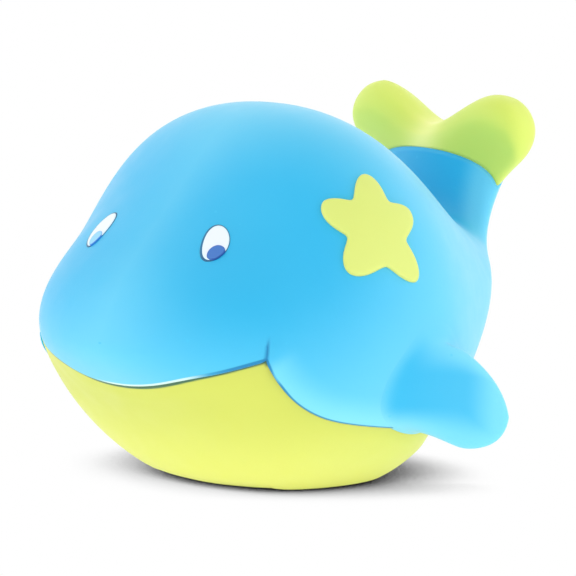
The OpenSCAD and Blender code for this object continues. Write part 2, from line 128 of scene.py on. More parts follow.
# Eyes: the irises look to the whale's left, and the whites are printed a little off their rims
EYE_PLACE = (0.183, 61.5)
EYE_TILT = {"left": 41, "right": 33}
EYE_LENGTH = 9.8
EYE_WIDTH = 6.6
EYE_RIM = 0.35
WHITE_SHIFT = {"left": (0, -0.2), "right": (0, 0.2)}
IRIS_WIDTH = 3.9
IRIS_PLACES = {"left": (-2.75, -0.85), "right": (-2.4, 1.5)}
# Thickness of a layer of print, and how deep its edge is set in the skin
PRINT = 0.12
PRINT_FOOT = 0.3

# Squeaker seat in the base
RECESS_RADIUS = 10.1
RECESS_DEPTH = 1.8
SEAT_RADIUS = 8
BOSS_RADIUS = 10.5
BOSS_TOP = 11


# Helpers for the skin

def mix(a, b, k):
    return a + (b - a) * k


def ease(k):
    k = np.clip(k, 0, 1)
    return k * k * (3 - 2 * k)


def sin(degrees):
    return np.sin(np.radians(degrees))


def cos(degrees):
    return np.cos(np.radians(degrees))


def unit(v):
    return v / np.linalg.norm(v, axis=-1, keepdims=True)


def spline(control, t):
    """Clamped cubic B-spline over the rows of control, at each value of t."""
    control = np.asarray(control, float)
    t = np.asarray(t, float)
    spans = len(control) - 3
    knots = np.concatenate([np.zeros(3), np.linspace(0, 1, spans + 1), np.ones(3)])
    first = np.clip(np.floor(t * spans).astype(int), 0, spans - 1)
    d = [control[first + j] for j in range(4)]
    for r in range(1, 4):
        for j in range(3, r - 1, -1):
            low = knots[first + j]
            high = knots[first + j + 4 - r]
            weight = ((t - low) / (high - low)).reshape(t.shape + (1,) * (control.ndim - 1))
            d[j] = mix(d[j - 1], d[j], weight)
    return d[3]


def ring(t, f):
    """Points of the loft: f is 90 at the top, 0 on the left flank and -90 underneath."""
    top_y, top_z, low_y, low_z, half, waist, roundness = np.moveaxis(spline(RAILS, t), -1, 0)
    up = sin(f)
    side = cos(f)
    above = mix(waist, 1, np.maximum(up, 0) ** roundness)
    share = np.where(up < 0, waist * (1 + up), above)
    reach = np.where(up < 0, side, np.sign(side) * np.abs(side) ** roundness)
    return np.stack([half * reach, mix(low_y, top_y, share), mix(low_z, top_z, share)], -1)


def along(t, f):
    step = 0.0005
    return (ring(t + step, f) - ring(t - step, f)) / (2 * step)


def around(t, f):
    step = 0.05
    return (ring(t, f + step) - ring(t, f - step)) / (2 * step)


def outward(t, f):
    t = np.maximum(t, 0.002)
    return unit(np.cross(along(t, f), around(t, f)))


def settle(z, level):
    """Flat floor with a soft edge."""
    h = z - level
    soft = np.maximum(h + BASE_ROUND, 0) ** 2 / (4 * BASE_ROUND)
    return level + np.where(h >= BASE_ROUND, h, soft)


def skin(t, f, height=0.0, level=0.0):
    t, f, height = np.broadcast_arrays(np.asarray(t, float), f, height)
    p = ring(t, f) + height[..., None] * outward(t, f)
    p[..., 2] = settle(p[..., 2], level)
    return p


def on_skin(place, u, v, height):
    """Points at u back along the body and v up around it from a place, height above the skin."""
    t, f = np.array(place[0], float), np.array(place[1], float)
    a = along(t, f)
    b = around(t, f)
    slant = b @ a / np.linalg.norm(a)
    turn = v / math.sqrt(b @ b - slant * slant)
    return skin(t + (u - slant * turn) / np.linalg.norm(a), f + turn, height)


def mirrored(points):
    return points * (-1, 1, 1)


# Helpers for meshes

def sheet(ids):
    """Faces between the rows of a grid of point numbers; equal neighbours close up."""
    quads = np.stack([ids[:-1, :-1], ids[:-1, 1:], ids[1:, 1:], ids[1:, :-1]], -1).reshape(-1, 4)
    faces = []
    for quad in quads.tolist():
        corners = [p for i, p in enumerate(quad) if p != quad[i - 1]]
        if len(corners) > 2:
            faces.append(corners)
    return faces


def closed_grid(rows, columns):
    """Point numbers of closed rings, with the last column on the first."""
    ids = np.arange(rows * columns).reshape(rows, columns)
    return np.concatenate([ids, ids[:, :1]], 1)


def relaxed(points, faces, loose, rounds):
    """Points after the loose ones have moved halfway to the middle of their neighbours, a few times."""
    edges = np.array([(a, b) for face in faces for a, b in zip(face, face[1:] + face[:1])])
    edges = np.concatenate([edges, edges[:, ::-1]])
    count = np.maximum(np.bincount(edges[:, 0], minlength=len(points)), 1)[:, None]
    for _ in range(rounds):
        total = np.zeros_like(points)
        np.add.at(total, edges[:, 0], points[edges[:, 1]])
        points = np.where(loose[:, None], mix(points, total / count, 0.5), points)
    return points


def make_piece(name, points, faces, body, slot, material, nodes, shades=None):
    """One soft piece of the toy, riding on a body and standing for the given nodes."""
    used, place = np.unique(np.concatenate([np.ravel(f) for f in faces]), return_inverse=True)
    ends = np.cumsum([len(f) for f in faces])[:-1]
    corners = [f.tolist() for f in np.split(place, ends)]
    mesh = bpy.data.meshes.new(name)
    mesh.from_pydata((np.asarray(points)[used] * MM).tolist(), [], corners)
    for label, values in (shades or {}).items():
        layer = mesh.attributes.new(label, "FLOAT", "POINT")
        layer.data.foreach_set("value", np.asarray(values, np.float32)[used])
    shaped = bmesh.new()
    shaped.from_mesh(mesh)
    bmesh.ops.recalc_face_normals(shaped, faces=shaped.faces)
    shaped.to_mesh(mesh)
    shaped.free()
    mesh.polygons.foreach_set("use_smooth", [True] * len(mesh.polygons))
    mesh.materials.append(material)
    piece = bpy.data.objects.new(name, mesh)
    bpy.context.collection.objects.link(piece)
    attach(piece, body)
    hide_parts(*nodes)
    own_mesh(piece)
    return piece


def ring_piece(name, rings, **facts):
    """Closed piece from rings of equal length, whose first and last ring are single points."""
    rings = np.asarray(rings)
    ids = closed_grid(*rings.shape[:2])
    ids[0] = ids[0, 0]
    ids[-1] = ids[-1, 0]
    return make_piece(name, rings.reshape(-1, 3), sheet(ids), **facts)


# Materials

def colour(red, green, blue):
    """Linear colour from the 0 to 255 values that a screen shows."""
    def linear(v):
        v /= 255
        return v / 12.92 if v <= 0.04045 else ((v + 0.055) / 1.055) ** 2.4
    return (linear(red), linear(green), linear(blue), 1)


def add(tree, kind, inputs=None, **settings):
    """Node with its settings, and its inputs as values or as sockets to link from."""
    made = tree.nodes.new(kind)
    for key, value in settings.items():
        setattr(made, key, value)
    for key, value in (inputs or {}).items():
        if isinstance(value, bpy.types.NodeSocket):
            tree.links.new(value, made.inputs[key])
        else:
            made.inputs[key].default_value = value
    return made


def blend_colours(tree, factor, first, second):
    """Socket of a colour that runs from first to second."""
    made = tree.nodes.new("ShaderNodeMix")
    made.data_type = "RGBA"
    for socket, value in ((made.inputs[0], factor), (made.inputs[6], first), (made.inputs[7], second)):
        if isinstance(value, bpy.types.NodeSocket):
            tree.links.new(value, socket)
        else:
            socket.default_value = value
    return made.outputs[2]


def stretch(tree, value, low, high, start, stop):
    """Socket of a value stretched from one range to another, held at the ends."""
    return add(tree, "ShaderNodeMapRange", {
        "Value": value, "From Min": low, "From Max": high, "To Min": start, "To Max": stop}).outputs[0]


def vinyl_group():
    """Sprayed soft vinyl: cloudy colour, pin-prick specks, a fine moulded grain and uneven gloss, with a
    paler tint as painted light, a dark line that is partly painted shade, and a pale edge.
    """
    group = bpy.data.node_groups.new("sprayed_vinyl", "ShaderNodeTree")
    for label, kind, value in (
            ("Colour", "NodeSocketColor", (0.5, 0.5, 0.5, 1)),
            ("Pale", "NodeSocketColor", (0.8, 0.8, 0.8, 1)),
            ("Deep", "NodeSocketColor", (0.3, 0.3, 0.3, 1)),
            ("Painted Light", "NodeSocketColor", (0.8, 0.8, 0.8, 1)),
            ("Painted Light Mask", "NodeSocketFloat", 0.0),
            ("Line", "NodeSocketColor", (0.1, 0.1, 0.1, 1)),
            ("Line Mask", "NodeSocketFloat", 0.0),
            ("Pale Edge", "NodeSocketColor", (0.8, 0.8, 0.8, 1)),
            ("Pale Edge Mask", "NodeSocketFloat", 0.0),
            ("Cloud", "NodeSocketFloat", 0.2),
            ("Gloss", "NodeSocketFloat", 0.45)):
        group.interface.new_socket(label, in_out="INPUT", socket_type=kind).default_value = value
    for label, kind in (
            ("Colour", "NodeSocketColor"), ("Roughness", "NodeSocketFloat"), ("Height", "NodeSocketFloat")):
        group.interface.new_socket(label, in_out="OUTPUT", socket_type=kind)
    given = group.nodes.new("NodeGroupInput").outputs
    result = group.nodes.new("NodeGroupOutput").inputs
    place = add(group, "ShaderNodeTexCoord").outputs["Object"]
    cloud = add(group, "ShaderNodeTexNoise", {"Vector": place, "Scale": 34.0, "Detail": 3.0}).outputs[0]
    smear = add(group, "ShaderNodeTexNoise", {"Vector": place, "Scale": 160.0, "Detail": 5.0}).outputs[0]
    grain = add(group, "ShaderNodeTexNoise", {"Vector": place, "Scale": 1700.0, "Detail": 3.0}).outputs[0]
    speck = add(group, "ShaderNodeTexVoronoi", {"Vector": place, "Scale": 130.0}).outputs["Distance"]
    paler = blend_colours(group, add(group, "ShaderNodeMath", {
        0: stretch(group, cloud, 0.5, 0.75, 0.0, 1.0), 1: given["Cloud"]}, operation="MULTIPLY").outputs[0],
        given["Colour"], given["Pale"])
    deeper = blend_colours(group, add(group, "ShaderNodeMath", {
        0: stretch(group, cloud, 0.5, 0.25, 0.0, 1.0), 1: given["Cloud"]}, operation="MULTIPLY").outputs[0],
        paler, given["Deep"])
    # Paler tint laid on where the mask says, as painted light.
    thinned = blend_colours(group, given["Painted Light Mask"], deeper, given["Painted Light"])
    specked = blend_colours(group, stretch(group, speck, 0.06, 0.03, 0.0, 0.35), thinned, given["Pale"])
    lined = blend_colours(group, given["Line Mask"], specked, given["Line"])
    group.links.new(blend_colours(group, given["Pale Edge Mask"], lined, given["Pale Edge"]), result["Colour"])
    group.links.new(add(group, "ShaderNodeMath", {
        0: given["Gloss"], 1: stretch(group, smear, 0.3, 0.7, -0.05, 0.07)}, operation="ADD").outputs[0],
        result["Roughness"])
    group.links.new(grain, result["Height"])
    return group


SPRAYED_VINYL = vinyl_group()
# Pale colour laid along the edge at the front of the mouth
PALE_EDGE_COLOUR = colour(226, 245, 228)


def vinyl(name, base, pale, deep, thin, line, sheen):
    """Soft vinyl in one sprayed colour, with painted light, a dark line or a pale edge where the mesh's
    shades say so.
    """
    made = bpy.data.materials.new(name)
    made.use_nodes = True
    tree = made.node_tree
    shader = tree.nodes["Principled BSDF"]
    finish = add(tree, "ShaderNodeGroup", node_tree=SPRAYED_VINYL)
    for key, value in (
            ("Colour", base), ("Pale", pale), ("Deep", deep), ("Painted Light", thin), ("Line", line),
            ("Pale Edge", PALE_EDGE_COLOUR)):
        finish.inputs[key].default_value = value
    for label, socket in (("thin", "Painted Light Mask"), ("line", "Line Mask"), ("pale_edge", "Pale Edge Mask")):
        shade = add(tree, "ShaderNodeAttribute", attribute_name=label)
        tree.links.new(shade.outputs["Fac"], finish.inputs[socket])
    tree.links.new(finish.outputs["Colour"], shader.inputs["Base Color"])
    tree.links.new(finish.outputs["Roughness"], shader.inputs["Roughness"])
    bump = add(tree, "ShaderNodeBump", {
        "Height": finish.outputs["Height"], "Strength": 0.08, "Distance": 0.0003})
    tree.links.new(bump.outputs["Normal"], shader.inputs["Normal"])
    for key, value in (
            ("Subsurface Weight", 0.12), ("Subsurface Radius", (0.5, 0.8, 1.0)), ("Subsurface Scale", 0.003),
            ("Specular IOR Level", 0.4), ("Sheen Weight", sheen), ("Sheen Roughness", 0.45)):
        shader.inputs[key].default_value = value
    return made


# The painted light tints are paler: painted sheen and floor light on the blue, floor light on the belly, a
# highlight in the flukes' saddle. The line colours darken the seam, partly as painted shade.
BLUE_VINYL = vinyl(
    "blue_vinyl", base=colour(36, 175, 222), pale=colour(58, 189, 230), deep=colour(26, 166, 217),
    thin=colour(122, 213, 237), line=colour(6, 126, 180), sheen=0.2)
LIME_VINYL = vinyl(
    "lime_vinyl", base=colour(199, 206, 87), pale=colour(209, 216, 104), deep=colour(190, 200, 76),
    thin=colour(228, 232, 118), line=colour(30, 96, 78), sheen=0.05)
FLUKE_VINYL = vinyl(
    "fluke_vinyl", base=colour(207, 223, 98), pale=colour(220, 230, 112), deep=colour(197, 218, 86),
    thin=colour(236, 240, 144), line=colour(70, 150, 120), sheen=0.1)
STAR_VINYL = vinyl(
    "star_vinyl", base=colour(208, 220, 116), pale=colour(219, 229, 136), deep=colour(198, 213, 102),
    thin=colour(240, 246, 150), line=colour(90, 160, 150), sheen=0.1)


def eye_print(name, base, edge):
    """Screen-printed ink: its colour thins or thickens towards the edge, over a slight orange peel."""
    made = bpy.data.materials.new(name)
    made.use_nodes = True
    tree = made.node_tree
    shader = tree.nodes["Principled BSDF"]
    place = add(tree, "ShaderNodeTexCoord").outputs["Object"]
    peel = add(tree, "ShaderNodeTexNoise", {"Vector": place, "Scale": 900.0, "Detail": 2.0}).outputs[0]
    mask = add(tree, "ShaderNodeAttribute", attribute_name="line").outputs["Fac"]
    tree.links.new(blend_colours(tree, mask, base, edge), shader.inputs["Base Color"])
    tree.links.new(stretch(tree, peel, 0.3, 0.7, 0.3, 0.45), shader.inputs["Roughness"])
    bump = add(tree, "ShaderNodeBump", {"Height": peel, "Strength": 0.05, "Distance": 0.0002})
    tree.links.new(bump.outputs["Normal"], shader.inputs["Normal"])
    return made


RIM_PRINT = eye_print("eye_rim_print", colour(8, 88, 128), colour(18, 108, 150))
WHITE_PRINT = eye_print("eye_white_print", colour(224, 232, 241), colour(214, 234, 241))
IRIS_PRINTS = {
    "left": eye_print("left_iris_print", colour(58, 112, 188), colour(6, 72, 152)),
    "right": eye_print("right_iris_print", colour(136, 202, 240), colour(36, 122, 204)),
}


# Blue skin: head, back and tail stock, split from the belly along the mouth and the flank

NOSE_ROWS = 60
MOUTH_ROWS = 44
FLANK_ROWS = 110
TAIL_ROWS = 56
SKIN_COLUMNS = 168
# Search points on the seam for each of its rows
SEAM_STEPS = 8
# Steps round the lip: towards the belly, and in from the skin
LIP_STEPS = np.array([(0.12, 0.04), (0.22, 0.16), (0.24, 0.32), (0.14, 0.46), (-0.3, 0.5), (-0.4, 1.2)])
# How closely the columns gather at the seam
SEAM_GATHER = 0.86
# Distance from the mouth's corner over which the lip narrows
LIP_TAPER = 1.5
# Width of the lip on the right side of the mouth, as a share of that on the left, and the share of the
# mouth over which it narrows to that
RIGHT_LIP = 0.2
RIGHT_LIP_RUN = 0.3
# Dark line along the seam, partly painted shade under the lip: place where it starts and run over which
# it comes in, left and right
LINE_STARTS = [(0.35, 0.5), (1.2, 0.1)]
# Its width along the mouth and beside the flank, and its soft edge
LINE_WIDTHS = (0.75, 0.35)
LINE_EDGE = 0.3
# Pale edge along the front of the mouth: place where it stops and run over which it goes, left and right
PALE_EDGE_STOPS = [(0.65, 0.25), (0.12, 0.1)]
PALE_EDGE_STRENGTH = 0.75
PALE_EDGE_WIDTH = 0.6
PALE_EDGE_SOFTNESS = 0.2
# Share of it at each step round the lip
LIP_PALE_EDGE = [1, 0.8, 0, 0, 0, 0]
# Strength of the painted shade in the crease, left and right
CREASE_SHADE = (0.8, 0.3)
# Hollow in front of the tail, in shade, where the blue gets no painted light: place along the body and
# degrees from the top, each with its run
HOLLOW_START = (0.78, 0.1)
HOLLOW_REACH = (60, 25)


def seam_rows():
    """Rows of the seam: place and angle on it, and place away from it."""
    k = np.linspace(0, 1, MOUTH_ROWS + 1)
    mouth = np.column_stack([spline(MOUTH_LINE, k), mix(SEAM_START, SEAM_CORNER, k)])
    k = np.linspace(0, 1, FLANK_ROWS + 1)[1:] ** 1.25
    flank = np.column_stack([spline(FLANK_LINE, k), mix(SEAM_CORNER, SEAM_STOP, k)])
    return np.concatenate([mouth, flank])


def seam_tree():
    """Search tree of points close together along the left seam."""
    rows = seam_rows()
    at = np.arange((len(rows) - 1) * SEAM_STEPS + 1) / SEAM_STEPS
    tree = KDTree(len(at))
    for i, p in enumerate(skin(*[np.interp(at, np.arange(len(rows)), c) for c in rows.T[:2]])):
        tree.insert(p, i)
    tree.balance()
    return tree


SEAM_TREE = seam_tree()


def near_seam(p):
    """Distance of points from the seam, and place along it: 0 in front, 1 at the corner, 2 behind."""
    found = [SEAM_TREE.find((abs(x), y, z))[1:] for x, y, z in p.reshape(-1, 3).tolist()]
    row, distance = np.array(found).T.reshape((2,) + p.shape[:-1])
    row = row / SEAM_STEPS
    return distance, np.where(row < MOUTH_ROWS, row / MOUTH_ROWS, 1 + (row - MOUTH_ROWS) / FLANK_ROWS)


def off_side(f):
    """From 0 at either side to 1 at the front and the back, without a kink at the sides."""
    return (np.sqrt(sin(f) ** 2 + 0.004) - 0.063) / 0.939


def tail_edge(f):
    return TAIL_END[0] + TAIL_END[1] * off_side(f) ** 0.9


def crease_shape(t, f):
    """Depth of the crease at the mouth's corner, and the swell of the cheek behind it."""
    side = np.where(f > 90, 180 - f, f)
    path = np.array(CREASE_LINE)
    here = np.interp(side, path[:, 1], path[:, 0])
    away = (t - here) * np.linalg.norm(along(np.array(SEAM_CORNER), np.array(0.0)))
    fade = ease((path[-1, 1] - side) / CREASE_FADES[0]) * (side > path[0, 1] - CHEEK_REACH)
    groove = np.exp(-(away / CREASE_WIDTH) ** 2) * fade * ease((side - path[0, 1]) / CREASE_FADES[1])
    cheek = np.exp(-((away - CHEEK_WIDTH) / CHEEK_WIDTH) ** 2) * fade * np.where(f > 90, RIGHT_SWELL, 1)
    return groove, cheek


# Painted light on the blue: none on the face, within a radius of a place beside each eye. From there a
# paler tint grows as painted sheen, and again towards the seam on the flank as painted light from the floor.
LIGHT_FREE_PLACE = (0.23, 50)
LIGHT_FREE_RADIUS = 14
PAINTED_LIGHT_FADE = 30
PAINTED_LIGHT_STRENGTH = 0.5
FLANK_PAINTED_LIGHT = 0.5
FLANK_LIGHT_REACH = 8


def blue_painted_light(p):
    """Strength of the painted light on the blue at points of the skin."""
    left = np.where(p < 0, p * (-1, 1, 1), p)
    away = np.linalg.norm(left - skin(*map(float, LIGHT_FREE_PLACE)), axis=-1)
    to_seam, share = near_seam(p)
    return (
        PAINTED_LIGHT_STRENGTH * ease((away - LIGHT_FREE_RADIUS) / PAINTED_LIGHT_FADE)
        + FLANK_PAINTED_LIGHT * ease((share - 1) / 0.08) * ease(1 - to_seam / FLANK_LIGHT_REACH))


def blue_skin():
    seam = seam_rows()
    nose = SEAM_START * (1 - (1 - np.arange(1, NOSE_ROWS + 1) / (NOSE_ROWS + 1)) ** 1.3)
    tail = mix(SEAM_STOP, 1, np.arange(1, TAIL_ROWS + 1) / TAIL_ROWS)
    rows = np.concatenate([
        np.column_stack([nose, nose * 0 - 90, nose]), seam, np.column_stack([tail, tail * 0 - 90, tail])])
    k = np.linspace(0, 1, SKIN_COLUMNS + 1)
    k -= SEAM_GATHER * np.sin(2 * np.pi * k) / (2 * np.pi)
    f = mix(rows[:, 1:2], 180 - rows[:, 1:2], k)
    t = mix(rows[:, 2:3], rows[:, 0:1], np.abs(2 * k - 1) ** 3)
    t = np.where(t < TAIL_LEAN, t, mix(TAIL_LEAN, tail_edge(f), (t - TAIL_LEAN) / (1 - TAIL_LEAN)))
    groove, cheek = crease_shape(t, f)
    outer = skin(t, f, CHEEK_SWELL * cheek - CREASE_DEPTH * groove)
    inner = skin(t, f, -WALL, FLOOR_WALL)

    first = NOSE_ROWS
    last = NOSE_ROWS + len(seam) - 1
    ids = np.arange(t.size).reshape(t.shape)
    rings = rows[:, 1] <= -90
    ids[rings, -1] = ids[rings, 0]
    inner_ids = ids + t.size
    edge = lip_points(outer[first:last + 1, 0], seam, 1)
    other_edge = mirrored(lip_points(outer[first:last + 1, 0], seam, RIGHT_LIP))
    lip_ids = np.arange(edge.shape[0] * edge.shape[1]).reshape(edge.shape[:2]) + 2 * t.size
    other_ids = lip_ids + lip_ids.size
    other_ids[[0, -1]] = lip_ids[[0, -1]]
    left = np.column_stack([ids[first:last + 1, 0], lip_ids, inner_ids[first:last + 1, 0]])
    right = np.column_stack([ids[first:last + 1, -1], other_ids, inner_ids[first:last + 1, -1]])
    pole = 2 * t.size + 2 * lip_ids.size
    tip = np.array([skin(0.0, 0.0), skin(0.0, 0.0) + (0, WALL, 0)])
    points = np.concatenate([
        outer.reshape(-1, 3), inner.reshape(-1, 3), edge.reshape(-1, 3), other_edge.reshape(-1, 3), tip])
    faces = (
        sheet(np.vstack([ids[0] * 0 + pole, ids]))
        + sheet(np.vstack([ids[0] * 0 + pole + 1, inner_ids]))
        + sheet(np.vstack([ids[-1], inner_ids[-1]])) + sheet(left) + sheet(right))
    # A dark line borders the seam, partly painted shade under the lip, on the right side only behind the
    # mouth. Along the front of the mouth a pale band is laid along the edge.
    to_seam, share = near_seam(points)
    on_left = points[:, 0] > 0
    lined = np.where(on_left, *[ease((share - start) / run) for start, run in LINE_STARTS])
    line = lined * ease((mix(*LINE_WIDTHS, ease((share - 1) / 0.3)) - to_seam) / LINE_EDGE)
    # The crease takes the line colour as painted shade.
    line[:t.size] = np.maximum(line[:t.size], (np.where(f <= 90, *CREASE_SHADE) * groove).ravel())
    line[2 * t.size:pole] = lined[2 * t.size:pole]
    pale_edge = PALE_EDGE_STRENGTH * np.where(on_left, *[ease((stop - share) / run) for stop, run in PALE_EDGE_STOPS])
    pale_edge *= ease((PALE_EDGE_WIDTH - to_seam) / PALE_EDGE_SOFTNESS)
    pale_edge[2 * t.size:pole] *= np.tile(LIP_PALE_EDGE, 2 * len(seam))
    # No painted light in the hollow in front of the tail, which keeps it darker, as painted shade.
    hollow = ease((t - HOLLOW_START[0]) / HOLLOW_START[1])
    hollow *= ease((HOLLOW_REACH[0] - np.abs(f - 90)) / HOLLOW_REACH[1])
    thin = np.zeros(len(points))
    thin[:t.size] = ((1 - hollow) * blue_painted_light(outer)).ravel()
    return make_piece(
        "blue_skin", points, faces, body="upper_skin", slot="vinyl_blue", material=BLUE_VINYL,
        nodes=["upper_shell"], shades={"thin": thin, "line": line, "pale_edge": pale_edge})


def seam_frame(edge, seam):
    """Outward direction at the seam, and the direction across it towards the belly."""
    out = outward(seam[:, 0], seam[:, 1])
    run = np.gradient(edge, axis=0)
    return out, unit(np.cross(run, out))


def lip_points(edge, seam, mouth_width):
    """Rounded lip on the left edge of the blue skin, which narrows into the mouth's corner.

    mouth_width is the share of its width that it keeps along the mouth.
    """
    out, across = seam_frame(edge, seam)
    to_corner = np.linalg.norm(edge - edge[MOUTH_ROWS], axis=1)
    reach = np.minimum(1, to_corner / LIP_TAPER)[:, None]
    narrowed = ease(np.arange(MOUTH_ROWS) / (RIGHT_LIP_RUN * MOUTH_ROWS))
    reach[:MOUTH_ROWS] *= mix(1, mouth_width, narrowed)[:, None]
    return np.stack([edge + a * reach * across - b * out for a, b in LIP_STEPS], 1)


blue_skin()


# Belly: rings that run from the squeaker's seat to the seam, then back along the inside

BELLY_RINGS = 56
# Oval round the seat that the rings start from, along the body and in degrees round it
START_OVAL = (0.072, 15)
# How far the lines from the oval to the seam bow forwards, which keeps them apart at the mouth's corner
LINE_BOW = 0.7
RING_BLEND = 0.2
# Width of the dark line along the seam, partly painted shade under the lip: at the front of the mouth and
# at its corner, and beside the flank
MOUTH_LINE_AND_SHADE = (1.6, 0.75)
FLANK_LINE_AND_SHADE = 0.5
# Where the lip is flush on the right, by place along the seam: start and stop, each with its run
FLUSH_START = (0.1, 0.3)
FLUSH_STOP = (1.3, 0.1)
# Strength of the line, and what is left of its width where the lip is flush
BELLY_LINE = 0.95
RIGHT_FADE = 0.3
# Strength of the painted light from the floor at the belly's base, and the height at which it is gone
BELLY_FLOOR_LIGHT = 0.8
BELLY_FLOOR_LIGHT_HEIGHT = 22
# Round the edge of the recess: radius and height
RECESS_STEPS = [
    (BOSS_RADIUS, FLOOR_WALL + 0.5), (BOSS_RADIUS, BOSS_TOP), (SEAT_RADIUS, BOSS_TOP),
    (SEAT_RADIUS, RECESS_DEPTH), (RECESS_RADIUS, RECESS_DEPTH), (RECESS_RADIUS, 0.3),
    (RECESS_RADIUS + 0.1, 0.08),
]


def belly():
    seam = seam_rows()
    left_edge = skin(seam[:, 0], seam[:, 1])
    length = np.concatenate([[0], np.cumsum(np.linalg.norm(np.diff(left_edge, axis=0), axis=1))])
    turn = 180 * (1 - length / length[-1])

    def both_sides(rows, flip):
        return np.concatenate([rows, flip * rows[-2:0:-1]])

    start = np.stack([
        BELLY_MIDDLE + START_OVAL[0] * both_sides(cos(turn), 1), START_OVAL[1] * both_sides(sin(turn), -1)])
    stop = np.stack([both_sides(seam[:, 0], 1), both_sides(seam[:, 1] + 90, -1)])
    seat = skin(BELLY_MIDDLE, -90.0)
    spoke = unit((skin(start[0], start[1] - 90) - seat) * (1, 1, 0))

    def places(k):
        bowed = mix(k, 1 - (1 - k) ** 2, LINE_BOW)
        return mix(start[0], stop[0], bowed), mix(start[1], stop[1], k) - 90

    def circle(radius, height):
        return seat * (1, 1, 0) + radius * spoke + (0, 0, height)

    rings = [circle(*step) for step in RECESS_STEPS]
    lines = [0 * stop[0]] * len(rings)
    steps = 1 - (1 - np.linspace(0, 1, BELLY_RINGS)) ** 1.3
    for k in steps:
        t, f = places(k)
        to_seam, share = near_seam(skin(t, f))
        flush = (f < -90) * ease((share - FLUSH_START[0]) / FLUSH_START[1])
        flush *= ease((FLUSH_STOP[0] - share) / FLUSH_STOP[1])
        line_and_shade = np.where(share < 1, mix(*MOUTH_LINE_AND_SHADE, ease(share)), FLANK_LINE_AND_SHADE)
        line_and_shade = line_and_shade * mix(1, RIGHT_FADE, flush)
        outside = skin(t, f, -LIP * (1 - flush) * ease(1 - to_seam / LIP_SLOPE))
        rings.append(mix(circle(RECESS_RADIUS + 0.4, 0), outside, ease(k / RING_BLEND)))
        lines.append(BELLY_LINE * ease((line_and_shade - to_seam) / LINE_EDGE))
    for k in steps[::-3]:
        t, f = places(k)
        inside = skin(t, f, -WALL, FLOOR_WALL)
        rings.append(mix(circle(BOSS_RADIUS + 0.6, FLOOR_WALL), inside, ease(k / RING_BLEND)))
        lines.append(0 * t)
    rings = np.array(rings)
    ids = closed_grid(*rings.shape[:2])
    faces = sheet(np.vstack([ids, ids[:1]]))
    # Paler towards the base: painted light from the floor.
    thin = BELLY_FLOOR_LIGHT * ease(1 - rings[..., 2] / BELLY_FLOOR_LIGHT_HEIGHT)
    return make_piece(
        "lime_belly", rings.reshape(-1, 3), faces, body="belly", slot="vinyl_lime", material=LIME_VINYL,
        nodes=["belly_shell"], shades={"thin": thin.ravel(), "line": np.array(lines).ravel()})


belly()


# Flippers: each leaves the flank in a fillet, tight in front and wide behind, and ends in a paddle

FLIPPER_COLUMNS = 96
FLIPPER_ROWS = 56
# Margin of the fillet round the root, in front and behind, and the share of it underneath
FILLET = (2.6, 4.5)
LOW_FILLET = 0.25
# Places along the paddle of its middle rings
PADDLE_PLACES = (0.3, 0.52, 0.76, 0.93)
# Strength of the painted light on the blue in the middle of the paddle and at its edge
PADDLE_PAINTED_LIGHT = (0.14, 0.8)


def paddle_ring(q, a):
    out = np.array([cos(FLIPPER_SWEEP), sin(FLIPPER_SWEEP), 0])
    face = np.array([sin(FLIPPER_SWEEP), -cos(FLIPPER_SWEEP), 0])
    root = skin(*map(float, FLIPPER_PLACE))
    middle = root + out * FLIPPER_REACH * q - np.array([0, 0, FLIPPER_DROP * q])
    half = math.sqrt(max(0, 1 - q ** 2.1))
    return middle + half * (
        np.outer(sin(a), (0, 0, FLIPPER_CHORD / 2))
        + np.outer(cos(a), face) * mix(1, 0.8, q) * FLIPPER_THICKNESS / 2)


def root_ring(a, margin, height):
    """Oval on the flank, wider than the root by the margin."""
    return on_skin(
        FLIPPER_PLACE, -cos(a) * (FLIPPER_ROOT / 2 + margin), sin(a) * (FLIPPER_CHORD / 2 + margin), height)


def flipper(side):
    a = np.linspace(0, 360, FLIPPER_COLUMNS, endpoint=False)
    margin = mix(*FILLET, ease((1 - cos(a)) / 2)) * mix(1, LOW_FILLET, ease(-sin(a)))
    control = np.array([
        root_ring(a, margin, -0.06), root_ring(a, margin * 0.45, 0.02), root_ring(a, -1.2, 0.6),
        *[paddle_ring(q, a) for q in PADDLE_PLACES],
        mix(paddle_ring(0.985, a), paddle_ring(1.0, a), 0.3), paddle_ring(1.0, a)])
    rows = spline(control, np.linspace(0, 1, FLIPPER_ROWS))
    heel = root_ring(a, 0 * a - 6, -1.5)
    rings = np.concatenate([[heel * 0 + heel.mean(0)], [heel], rows])
    points = rings if side == "left" else mirrored(rings)
    # Painted light on the flipper: none on its front at the root, in the hollow behind the front crease, and
    # more towards the paddle's edge and underneath, as light from the floor.
    out = np.clip(np.arange(-2, FLIPPER_ROWS) / (FLIPPER_ROWS - 1), 0, 1)[:, None]
    on_flank = blue_painted_light(rings)
    underneath = PADDLE_PAINTED_LIGHT[1] * ease((-sin(a) - 0.1) / 0.6)
    at_root = np.maximum(on_flank * (1 - ease(1.3 * cos(a))), underneath)
    at_root = mix(on_flank, at_root, ease(out / 0.14))
    at_edge = np.max(np.broadcast_arrays(
        ease((out - 0.4) / 0.35), ease((sin(a) - 0.5) / 0.45), ease((-sin(a) - 0.1) / 0.7)), axis=0)
    thin = mix(at_root, mix(*PADDLE_PAINTED_LIGHT, at_edge), ease((out - 0.1) / 0.3))
    return ring_piece(
        side + "_paddle", points, body="upper_skin", slot="vinyl_blue", material=BLUE_VINYL,
        nodes=[side + "_flipper"], shades={"thin": thin.ravel()})


for side in ("left", "right"):
    flipper(side)


# Flukes: the tail's rim swells into two lobes that close along a notched ridge

FLUKE_COLUMNS = 160
FLUKE_ROWS = 64
# Rounds of smoothing that take the creases out of the lobes
RELAX_ROUNDS = 24
